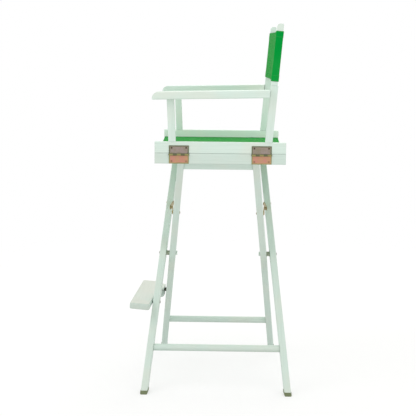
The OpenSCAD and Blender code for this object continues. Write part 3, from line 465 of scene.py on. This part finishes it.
class Cloth:
    """Cloth of a thickness: a 2-D line of points, swept over stations."""

    def __init__(self, path, stations, place, thickness, ripple):
        self.path = path
        self.stations = stations
        self.place = place
        self.thickness = thickness
        self.ripple = ripple
        self.sides = []
        for i in range(len(path)):
            step = path[min(i + 1, len(path) - 1)] - path[max(i - 1, 0)]
            self.sides.append(Vector((-step.y, step.x)).normalized())

    def point(self, i, station, side):
        """A point of the cloth's face on one side of its line."""
        lift = self.ripple(self.path[i], station) + side * self.thickness(i, station, side)
        return self.place(self.path[i] + self.sides[i] * lift, station)

    def facing(self, i, station, side):
        """The direction that the cloth's face looks in."""
        base = self.place(self.path[i], station)
        return (self.place(self.path[i] + self.sides[i] * side, station) - base).normalized()

    def along(self, station, first, last, side):
        """A line along the path at one station, as (point, normal) pairs."""
        return [(self.point(i, station, side), self.facing(i, station, side))
                for i in range(first, last + 1)]

    def across(self, i, low, high, side, count=LINE_STEPS):
        """A line across the stations at one point of the path, as (point, normal) pairs."""
        spots = [low + (high - low) * k / count for k in range(count + 1)]
        return [(self.point(i, spot, side), self.facing(i, spot, side)) for spot in spots]

    def length(self):
        """The length of the cloth along its path."""
        return sum((b - a).length for a, b in zip(self.path, self.path[1:]))

    def build(self, name, material):
        """The cloth as a closed mesh: both faces, the path's ends and the edges."""
        rows = len(self.path)
        points = [self.point(i, station, side) for side in (1, -1)
                  for station in self.stations for i in range(rows)]
        sheet = len(self.stations) * rows
        faces = []
        for s in range(len(self.stations) - 1):
            for i in range(rows - 1):
                low = s * rows + i
                faces.append((low, low + 1, low + rows + 1, low + rows))
                under = low + sheet
                faces.append((under, under + rows, under + rows + 1, under + 1))
            for low in (s * rows, s * rows + rows - 1):
                faces.append((low, low + rows, low + rows + sheet, low + sheet))
        for low in (0, (len(self.stations) - 1) * rows):
            for i in range(low, low + rows - 1):
                faces.append((i, i + 1, i + 1 + sheet, i + sheet))
        piece = mesh_object(name, points, faces, material)
        outward(piece)
        return piece


HEM_STEP = 0.6 * MM
FOLD_R = 0.9 * MM
FOLD_LEAST = 0.12
EDGE_SPOTS = (0, 0.1, 0.3, 0.6, 0.9, 1.6, 5, 9, 13, 17)
HEM_SPOTS = (-0.6, -0.2, 0.2, 0.6)
PUCKER_REACH = 7 * MM
PUCKER_DEPTH = 0.35 * MM
PUCKER_PLACE = 3.7


def edge_gap(station, low, high):
    """The distance from the cloth's nearer edge."""
    return min(station - low, high - station)


def hem_share(gap):
    """1 on a hem, 0 past it, for a distance from the cloth's edge."""
    return 1 - smooth(gap, HEM_W - HEM_STEP, HEM_W + HEM_STEP)


def edge_round(gap):
    """Draws the thickness in towards the folded edge."""
    share = max(0.0, min(1.0, gap / FOLD_R))
    return FOLD_LEAST + (1 - FOLD_LEAST) * math.sqrt(1 - (1 - share) ** 2)


def edge_stations(low, high, spacing):
    """Stations across the cloth, closer together at its edges and at the ends of its hems."""
    offsets = [value * MM for value in EDGE_SPOTS] + [HEM_W + value * MM for value in HEM_SPOTS]
    start, end = low + offsets[-1], high - offsets[-1]
    count = round((end - start) / spacing)
    middle = [start + (end - start) * k / count for k in range(1, count)]
    last = [high - value for value in reversed(offsets)]
    return [low + value for value in offsets] + middle + last


def pucker(along, gap):
    """Small gathers that the hem's seams draw in."""
    near = math.exp(-((gap - HEM_W) / PUCKER_REACH) ** 2)
    wave = noise.noise(Vector((along * 95, gap * 20, PUCKER_PLACE)))
    return near * wave * PUCKER_DEPTH


THREAD_R = 0.32 * MM
THREAD_SIDES = 6
STITCH = 3.0 * MM
STITCH_PITCH = 4.0 * MM
STITCH_END = 2 * MM
STITCH_RINGS = ((0, 0.4, 1.2), (0.2, 1, 0), (0.8, 1, 0), (1, 0.4, 1.2))


def on_line(line, spots, distance):
    """The point, normal and direction at a distance along a line of (point, normal) pairs."""
    i = 0
    while i < len(spots) - 2 and distance > spots[i + 1]:
        i += 1
    share = (distance - spots[i]) / (spots[i + 1] - spots[i])
    (a, up_a), (b, up_b) = line[i], line[i + 1]
    return a.lerp(b, share), up_a.lerp(up_b, share).normalized(), (b - a).normalized()


def stitch_ring(line, spots, distance, size, sink):
    """A ring of points round the thread, sunk into the cloth by a share of its radius."""
    at, up, ahead = on_line(line, spots, distance)
    across = ahead.cross(up).normalized()
    centre = at + up * THREAD_R * (0.5 - sink)
    angles = [2 * math.pi * j / THREAD_SIDES for j in range(THREAD_SIDES)]
    radius = THREAD_R * size
    return [centre + (across * math.cos(a) + up * math.sin(a)) * radius for a in angles]


def stitches(name, lines, material):
    """Rows of short stitches along lines of (point, normal) pairs, as one mesh."""
    points = []
    faces = []
    for line in lines:
        spots = [0.0]
        for (a, _), (b, _) in zip(line, line[1:]):
            spots.append(spots[-1] + (b - a).length)
        for k in range(int(spots[-1] / STITCH_PITCH)):
            start = k * STITCH_PITCH
            base = len(points)
            for share, size, sink in STITCH_RINGS:
                points += stitch_ring(line, spots, start + STITCH * share, size, sink)
            for r in range(len(STITCH_RINGS) - 1):
                for j in range(THREAD_SIDES):
                    a = base + r * THREAD_SIDES + j
                    b = base + r * THREAD_SIDES + (j + 1) % THREAD_SIDES
                    faces.append((a, b, b + THREAD_SIDES, a + THREAD_SIDES))
            end = len(points) - THREAD_SIDES
            faces.append(tuple(base + j for j in reversed(range(THREAD_SIDES))))
            faces.append(tuple(end + j for j in range(THREAD_SIDES)))
    piece = mesh_object(name, points, faces, material)
    outward(piece)
    return piece


def nearest(path, rows, x):
    """The row of the path that is nearest to a distance from the middle."""
    return min(rows, key=lambda i: abs(path[i].x - x))


SEAT_LAYER = CLOTH_T / 2 + 0.02 * MM
SEAT_RISE = 12 * MM
SEAT_RING = ROD_R + ROD_GAP + CLOTH_T / 2
RING_STEPS = 24
COARSE_ROWS = 6 * MM
SEAT_ROWS = 1.1 * MM
SEAT_STATIONS = 7 * MM
# The hem thins between these distances from the chair's middle, before the lap begins
SEAT_THIN = (SEAT_LAP - 8 * MM, SEAT_LAP - 2 * MM)
SEAT_SEAMS = (SEAT_LAP + 3 * MM, RAIL_IN - 8 * MM)
SEAT_HEM_END = SEAT_LAP - 3 * MM
# Ripples die out towards the crease and towards the lap
CREASE_CALM = 40 * MM
SEAT_CALM = 30 * MM
SEAT_SWELL = 1.1 * MM
SEAT_RIPPLE = 0.35 * MM


def seat_height(x):
    """The middle of the sagging seat, from the crease to the rail."""
    return CHANNEL_Z - SEAT_SAG * (1 - (min(x, RAIL_IN) / RAIL_IN) ** 2)


def steps_between(start, end, spacing):
    """Values from start to end at about a spacing."""
    count = max(1, round(abs(end - start) / spacing))
    return [start + (end - start) * k / count for k in range(count + 1)]


def seat_path():
    """From the crease out to the rail, round the rod in its channel, and back to the lap's end."""
    rise_from = SEAT_LAP - SEAT_RISE

    def top_layer(x):
        return seat_height(x) + SEAT_LAYER * smooth(x, rise_from, SEAT_LAP)

    xs = [CREASE] + steps_between(2 * CREASE, rise_from, COARSE_ROWS)[:-1]
    xs += steps_between(rise_from, RAIL_IN, SEAT_ROWS)
    path = [Vector((x, top_layer(x))) for x in xs]
    sheet = len(path)
    start = math.pi - math.asin(SEAT_LAYER / SEAT_RING)
    for k in range(RING_STEPS + 1):
        turn = start - 2 * start * k / RING_STEPS
        path.append(Vector((CHANNEL_X + SEAT_RING * math.cos(turn),
                            CHANNEL_Z + SEAT_RING * math.sin(turn))))
    for x in steps_between(RAIL_IN, SEAT_LAP, SEAT_ROWS):
        path.append(Vector((x, seat_height(x) - SEAT_LAYER)))
    return path, sheet


def seat_canvas(side, canvas, thread):
    """Half of the seat, with its hems, its rod channel and its seams."""
    low, high = -SEAT_LEN / 2, SEAT_LEN / 2
    path, sheet = seat_path()
    word = "left" if side > 0 else "right"

    def place(point, station):
        return Vector((point.x * side, MID_Y + station, point.y))

    def thickness(i, station, face):
        gap = edge_gap(station, low, high)
        half = CLOTH_T / 2
        if face < 0 and i < sheet:
            x = path[i].x
            inside = smooth(x, 2 * MM, FOLD_ROOM) * (1 - smooth(x, *SEAT_THIN))
            half += CLOTH_T * hem_share(gap) * inside
        return half * edge_round(gap)

    def ripple(point, station):
        calm = smooth(point.x, SEAT_LAP - SEAT_CALM, SEAT_LAP)
        free = smooth(point.x, 0, CREASE_CALM) * (1 - calm)
        gap = edge_gap(station, low, high)
        swell = noise.noise(Vector((point.x * side * 14, station * 9, 1.3)))
        fine = noise.noise(Vector((point.x * side * 45, station * 22, 5.1)))
        return free * (swell * SEAT_SWELL + fine * SEAT_RIPPLE + pucker(point.x * side, gap))

    cloth = Cloth(path, edge_stations(low, high, SEAT_STATIONS), place, thickness, ripple)
    piece = cloth.build("seat_cloth_" + word, canvas)
    last = next(i for i, p in enumerate(path) if p.x > SEAT_HEM_END)
    apart = next(i for i, p in enumerate(path) if p.x > FOLD_ROOM)
    lines = []
    for inset in HEM_SEAMS:
        for station in (low + inset, high - inset):
            lines += [cloth.along(station, 1, last, 1), cloth.along(station, apart, last, -1)]
    for x in SEAT_SEAMS:
        for rows in (range(sheet), range(sheet + RING_STEPS + 1, len(path))):
            row = nearest(path, rows, x)
            lines.append(cloth.across(row, low + STITCH_END, high - STITCH_END, 1))
    seams = stitches("seat_stitches_" + word, lines, thread)
    for one in (piece, seams):
        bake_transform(one)
    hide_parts("seat_canvas_" + word)


BACK_WALL = STICK_W / 2 + ROD_GAP + CLOTH_T / 2
BACK_FRONT = -STICK_SHIFT - BACK_WALL
BACK_LAYER = CLOTH_T + 0.04 * MM
BACK_RISE = 8 * MM
BACK_ROWS = 1.2 * MM
SLEEVE_ROWS = 2.5 * MM
SLEEVE_CORNER = 3 * MM
BACK_STATIONS = 6 * MM
BACK_THIN = (BACK_LAP - 7 * MM, BACK_LAP - 1 * MM)
BACK_SEAMS = (BACK_LAP + 3 * MM, BACK_BEND + 2 * MM)
BACK_HEM_END = BACK_LAP - 2 * MM
BACK_CALM = 20 * MM
SLEEVE_HEM = 0.45
BACK_SWELL = 0.9 * MM
BACK_RIPPLE = 0.3 * MM
BACK_LINE_STEPS = 30
# Rows counted from the sleeve's end: where its seams are, and where its hems' seams stop
SLEEVE_SEWN = 18
SLEEVE_HEMMED = 12


def back_bow(x):
    """The middle of the bowed back panel, from the crease to the post."""
    return BACK_FRONT + BACK_BOW * (1 - (min(x, RAIL_IN) / RAIL_IN) ** 2)


def back_path():
    """From the crease out to the post, round its upper stick, and back behind the panel."""
    xs = [CREASE] + steps_between(2 * CREASE, BACK_LAP - BACK_RISE, COARSE_ROWS)[:-1]
    xs += steps_between(BACK_LAP - BACK_RISE, RAIL_IN, BACK_ROWS)
    path = [Vector((x, back_bow(x))) for x in xs]
    sheet = len(path)
    inner = RAIL_MID - STICK_SHIFT - BACK_WALL
    outer = RAIL_MID - STICK_SHIFT + BACK_WALL
    rear = -STICK_SHIFT + BACK_WALL
    corners = [Vector((RAIL_IN, BACK_FRONT)), Vector((outer, BACK_FRONT)),
               Vector((outer, rear)), Vector((inner, rear))]
    for x in (BACK_BEND + BACK_RISE, BACK_BEND):
        corners.append(Vector((x, back_bow(x) + BACK_LAYER)))
    path += evenly(rounded(corners, SLEEVE_CORNER), SLEEVE_ROWS)[1:]
    for x in steps_between(BACK_BEND, BACK_LAP, BACK_ROWS)[1:]:
        path.append(Vector((x, back_bow(x) + BACK_LAYER)))
    return path, sheet


def back_canvas(side, canvas, thread):
    """Half of the back, with its hems and the sleeve that holds it on the post."""
    low, high = BACK_LOW, BACK_LOW + BACK_H
    path, sheet = back_path()
    word = "left" if side > 0 else "right"
    sine, cosine = math.sin(BACK_LEAN), math.cos(BACK_LEAN)

    def place(point, station):
        return Vector((point.x * side, BACK_POST_Y + point.y * cosine + station * sine,
                       RAIL_TOP - point.y * sine + station * cosine))

    def thickness(i, station, face):
        gap = edge_gap(station, low, high)
        half = CLOTH_T / 2
        hem = hem_share(gap)
        if face > 0 and i < sheet:
            half += CLOTH_T * hem * (1 - smooth(path[i].x, *BACK_THIN))
        elif face < 0 and path[i].x > RAIL_IN:
            half += SLEEVE_HEM * CLOTH_T * hem * smooth(path[i].x, RAIL_IN, RAIL_IN + 3 * MM)
        return half * edge_round(gap)

    def ripple(point, station):
        calm = smooth(point.x, BACK_LAP - BACK_CALM, BACK_LAP)
        free = smooth(point.x, 0, CREASE_CALM) * (1 - calm)
        gap = edge_gap(station, low, high)
        swell = noise.noise(Vector((point.x * side * 12, station * 11, 8.3)))
        fine = noise.noise(Vector((point.x * side * 40, station * 25, 2.1)))
        return free * (swell * BACK_SWELL + fine * BACK_RIPPLE + pucker(point.x * side, gap))

    cloth = Cloth(path, edge_stations(low, high, BACK_STATIONS), place, thickness, ripple)
    piece = cloth.build("back_cloth_" + word, canvas)
    last = next(i for i, p in enumerate(path) if p.x > BACK_HEM_END)
    lines = []
    for inset in HEM_SEAMS:
        for station in (low + inset, high - inset):
            lines += [cloth.along(station, 1, last, 1), cloth.along(station, 1, last, -1)]
            lines.append(cloth.along(station, sheet + 2, len(path) - SLEEVE_HEMMED, -1))
    for x in BACK_SEAMS:
        for rows in (range(sheet), range(len(path) - SLEEVE_SEWN, len(path))):
            row = nearest(path, rows, x)
            lines.append(cloth.across(row, low + STITCH_END, high - STITCH_END, -1,
                                      BACK_LINE_STEPS))
    seams = stitches("back_stitches_" + word, lines, thread)
    for one in (piece, seams):
        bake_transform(one)
    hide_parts("back_canvas_" + word)


LEG_SLOPE = math.radians(33.9)
GRAIN_UP = (0, 0, 1)
GRAIN_BACK = (0, 1, 0)
GRAIN_ACROSS = (1, 0, 0)
GRAIN_OUTER = (-math.sin(LEG_SLOPE), 0, math.cos(LEG_SLOPE))
GRAIN_INNER = (math.sin(LEG_SLOPE), 0, math.cos(LEG_SLOPE))
# Lighter and darker copies of the one paint: the far upper rail lighter as painted light; the
# stretchers, lower rails and inner legs darker as painted shade; the outer legs and footrest darker
# as grubbier paint and painted shade
FAR_RAIL_PAINTED_LIGHT = 1.09
FOOTREST_DIRT_AND_SHADE = 0.84
LOW_PIECES_PAINTED_SHADE = 0.92
OUTER_DIRT_AND_SHADE = 0.92
INNER_PAINTED_SHADE = 0.96
WEAR_FOOTREST = 0.95


def dress_nodes():
    """Gives every CAD node but the canvases the material that its piece has."""
    up = painted_wood("paint_up", GRAIN_UP)
    back = painted_wood("paint_back", GRAIN_BACK)
    # Painted light and shade: a lighter copy of the paint for the far upper rail, darker ones for the
    # low pieces and the legs; the outer legs and footrest are also grubbier
    pale = painted_wood("paint_far_rail_painted_light", GRAIN_BACK, FAR_RAIL_PAINTED_LIGHT)
    across = painted_wood("paint_footrest_dirt_and_shade", GRAIN_ACROSS, FOOTREST_DIRT_AND_SHADE, WEAR_FOOTREST)
    low = painted_wood("paint_low_pieces_painted_shade", GRAIN_BACK, LOW_PIECES_PAINTED_SHADE)
    outer = painted_wood("paint_outer_legs_dirt_and_shade", GRAIN_OUTER, OUTER_DIRT_AND_SHADE)
    inner = painted_wood("paint_inner_legs_painted_shade", GRAIN_INNER, INNER_PAINTED_SHADE)
    leaf_low, leaf_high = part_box("hinge_upper_leaves_left")
    lower_low, lower_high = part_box("hinge_lower_leaves_left")
    upper_leaf = plated_leaf("upper_leaf", UPPER_PLAIN, UPPER_STAIN, UPPER_RIM,
                             leaf_low.z + LEAF_HIDDEN, leaf_high.z)
    lower_leaf = plated_leaf("lower_leaf", LOWER_PLAIN, LOWER_STAIN, LOWER_RIM,
                             lower_low.z, lower_high.z - LEAF_HIDDEN)
    leaf_screw = metal("leaf_screw", LEAF_SCREW, 0.4, metallic=0.6)
    lower_screw = metal("lower_screw", LOWER_SCREW, 0.4, metallic=0.4)
    zinc = metal("zinc_steel", ZINC, 0.32)
    dark = metal("dark_fastener", DARK_STEEL, 0.45, metallic=0.5)
    spacer = metal("spacer", SPACER, 0.5, metallic=0.3)
    gilt = metal("yellow_zinc", YELLOW_ZINC, 0.42, metallic=0.45)
    feet = rubber()
    # The first of these words that is part of a node's name decides
    rules = [
        ("rest_stud", dark), ("pivot_washer", up), ("pivot_nuts", up), ("pivot_spacers", spacer),
        ("pivot", zinc), ("brace", gilt), ("rod", zinc), ("glides", feet),
        ("hinge_upper_leaves", upper_leaf), ("hinge_lower_leaves", lower_leaf),
        ("hinge_lower_screws", lower_screw), ("hinge", leaf_screw), ("screws", zinc),
        ("outer_front_leg", outer), ("outer_rear_leg", outer),
        ("inner_front_leg", inner), ("inner_rear_leg", inner), ("post", up), ("footrest", across),
        ("lower_rail", low), ("upper_rail_right", pale), ("rail", back), ("arm", back),
        ("stretcher", low), ("apron", back),
    ]
    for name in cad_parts:
        if "canvas" in name:
            continue
        finish = next(material for word, material in rules if word in name)
        node = bpy.data.objects[name]
        node.data.materials.clear()
        node.data.materials.append(finish)


TREAD_GRID = 2 * MM
TREAD_EASE = 7


def worn_board():
    """The footrest's board with its ends and corners worn round."""
    board = bpy.data.objects["footrest_board"]
    piece = bpy.data.objects.new("footrest_tread", board.data.copy())
    piece.matrix_world = board.matrix_world
    bpy.context.scene.collection.objects.link(piece)
    remesh = piece.modifiers.new("remesh", "REMESH")
    remesh.mode = "VOXEL"
    remesh.voxel_size = TREAD_GRID
    remesh.use_smooth_shade = True
    ease = piece.modifiers.new("ease", "SMOOTH")
    ease.factor = 0.5
    ease.iterations = TREAD_EASE
    graph = bpy.context.evaluated_depsgraph_get()
    shaped = bpy.data.meshes.new_from_object(piece.evaluated_get(graph))
    piece.modifiers.clear()
    piece.data = shaped
    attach(piece, "footrest")
    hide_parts("footrest_board")


AIM_HEIGHT = 0.6
DAYLIGHT = (0.93, 0.97, 1.0)
PLAIN_LIGHT = (1, 1, 1)


def lamp(name, place, size, power, tint):
    """A soft square lamp that faces the middle of the chair."""
    data = bpy.data.lights.new(name, "AREA")
    data.size = size
    data.energy = power
    data.color = tint
    light = bpy.data.objects.new(name, data)
    light.location = place
    aim = Vector((0, MID_Y, AIM_HEIGHT)) - Vector(place)
    light.rotation_euler = aim.to_track_quat("-Z", "Y").to_euler()
    bpy.context.scene.collection.objects.link(light)


SKY = 0.93
SKY_COLOUR = (1.0, 0.99, 0.965, 1)
WHITE = (1, 1, 1, 1)


def background_rays(tree):
    """1 where the background shows: to the camera, in gloss and through glass."""
    ray = tree.nodes.new("ShaderNodeLightPath")
    shown = ray.outputs["Is Camera Ray"]
    for kind in ("Is Glossy Ray", "Is Transmission Ray"):
        either = tree.nodes.new("ShaderNodeMath")
        either.operation = "MAXIMUM"
        tree.links.new(shown, either.inputs[0])
        tree.links.new(ray.outputs[kind], either.inputs[1])
        shown = either.outputs[0]
    return shown


def make_world():
    """White behind the chair, and a softer white light round it."""
    world = bpy.data.worlds.new("studio")
    bpy.context.scene.world = world
    world.use_nodes = True
    tree = world.node_tree
    shown = tree.nodes["Background"]
    shown.inputs["Color"].default_value = WHITE
    lit = tree.nodes.new("ShaderNodeBackground")
    lit.inputs["Color"].default_value = SKY_COLOUR
    lit.inputs["Strength"].default_value = SKY
    mix = tree.nodes.new("ShaderNodeMixShader")
    tree.links.new(background_rays(tree), mix.inputs[0])
    tree.links.new(lit.outputs[0], mix.inputs[1])
    tree.links.new(shown.outputs[0], mix.inputs[2])
    tree.links.new(mix.outputs[0], tree.nodes["World Output"].inputs["Surface"])


FLOOR_NEAR = 1.1
FLOOR_FAR = 2.6
FLOOR_WHITE = 0.6
FLOOR_LIT = ((0.64, 0.64, 0.64, 1), (0.68, 0.68, 0.68, 1))
FLOOR_SEEN = ((0.96, 0.96, 0.96, 1), (0.98, 0.98, 0.98, 1))
FLOOR_SIDES = 48
FLOOR_RINGS = (0.4, 1.2, 2.2, 3.4)
FLOOR_DROP = 0.4 * MM
FLOOR_RELIEF = 0.1 * MM


def make_floor():
    """A pale floor under the chair, which keeps its shadow and fades into the white round it."""
    shade = Shader("floor")
    place = shade.coordinates()
    distance = shade.add("VectorMath", {0: place}, operation="LENGTH").outputs["Value"]
    grain = shade.noise(place, 240.0, roughness=0.6)
    seen = background_rays(shade.tree)
    colour = shade.mix(seen, shade.mix(grain, *FLOOR_LIT), shade.mix(grain, *FLOOR_SEEN))
    shade.finish(colour, 0.9, shade.bump(grain, 0.05, FLOOR_RELIEF), Specular_IOR_Level=0.1)
    white = shade.add("Emission", {"Color": WHITE, "Strength": 1.0}).outputs[0]
    shown = shade.add("MixShader", {0: shade.math("MULTIPLY", seen, FLOOR_WHITE)})
    shade.tree.links.new(shade.surface.outputs[0], shown.inputs[1])
    shade.tree.links.new(white, shown.inputs[2])
    clear = shade.add("BsdfTransparent").outputs[0]
    mix = shade.add("MixShader", {0: shade.ramp(distance, FLOOR_NEAR, FLOOR_FAR)})
    shade.tree.links.new(shown.outputs[0], mix.inputs[1])
    shade.tree.links.new(clear, mix.inputs[2])
    shade.tree.links.new(mix.outputs[0], shade.tree.nodes["Material Output"].inputs["Surface"])
    angles = [2 * math.pi * k / FLOOR_SIDES for k in range(FLOOR_SIDES)]
    points = [Vector((math.cos(a) * r, math.sin(a) * r, -FLOOR_DROP))
              for r in FLOOR_RINGS for a in angles]
    faces = [tuple(range(FLOOR_SIDES))]
    for r in range(len(FLOOR_RINGS) - 1):
        for k in range(FLOOR_SIDES):
            a = r * FLOOR_SIDES + k
            b = r * FLOOR_SIDES + (k + 1) % FLOOR_SIDES
            faces.append((a, a + FLOOR_SIDES, b + FLOOR_SIDES, b))
    floor = mesh_object("floor", points, faces, shade.material, smooth=False)


make_camera()
make_world()
make_floor()
lamp("key", (1.3, -2.4, 2.9), size=2.2, power=20, tint=DAYLIGHT)
lamp("fill", (2.6, 2.0, 1.1), size=2.0, power=9, tint=DAYLIGHT)
lamp("back", (-2.6, 0.6, 2.2), size=2.0, power=16, tint=PLAIN_LIGHT)
bpy.context.scene.view_settings.view_transform = "Standard"

dress_nodes()
worn_board()
cloth_material = canvas_material()
thread = thread_material()
for side in (1, -1):
    seat_canvas(side, cloth_material, thread)
    back_canvas(side, cloth_material, thread)
